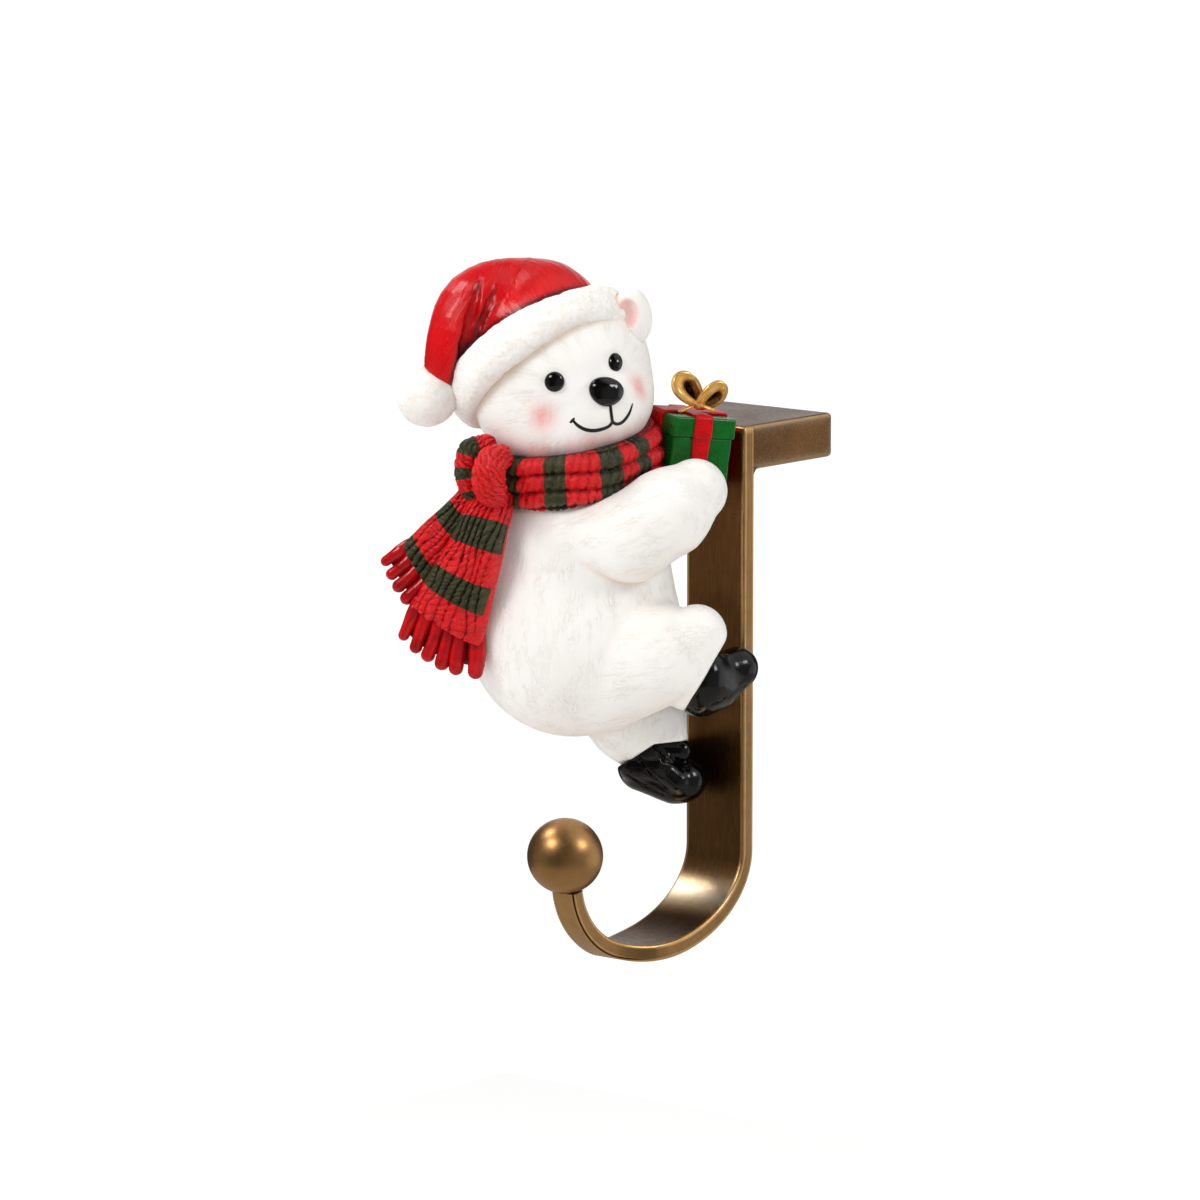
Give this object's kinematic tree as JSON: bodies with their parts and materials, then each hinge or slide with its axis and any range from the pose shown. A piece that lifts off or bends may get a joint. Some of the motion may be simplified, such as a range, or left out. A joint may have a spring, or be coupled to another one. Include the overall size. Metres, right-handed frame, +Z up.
{
  "type": "mantel stocking holder",
  "caption": "Cast metal bracket whose plate rests on a mantel, with a J hook and ball tip below and a resin bear figure holding a gift on its strap.",
  "frame": {"origin": "middle of the grip pad's lower face, where the plate rests on the mantel", "axes": "+Z up, -Y towards the room, +Y towards the mantel, X along the mantel"},
  "size_m": [0.0815, 0.1108, 0.1835],
  "materials": {
    "aged_brass": "antique brass plating, dark patina on the flats, rubbed bright on the edges",
    "ball_brass": "satin antique brass",
    "painted_resin": "hand painted cast resin, satin white with glossy red, green, black and gold",
    "screw_steel": "zinc plated",
    "pad_rubber": "matt black foam rubber"
  },
  "bodies": {
    "root": {"hook_bracket": "aged_brass", "ball_finial": "ball_brass", "bear_figure": "painted_resin", "fixing_screws": "screw_steel", "grip_pad": "pad_rubber"}
  },
  "joints": []
}
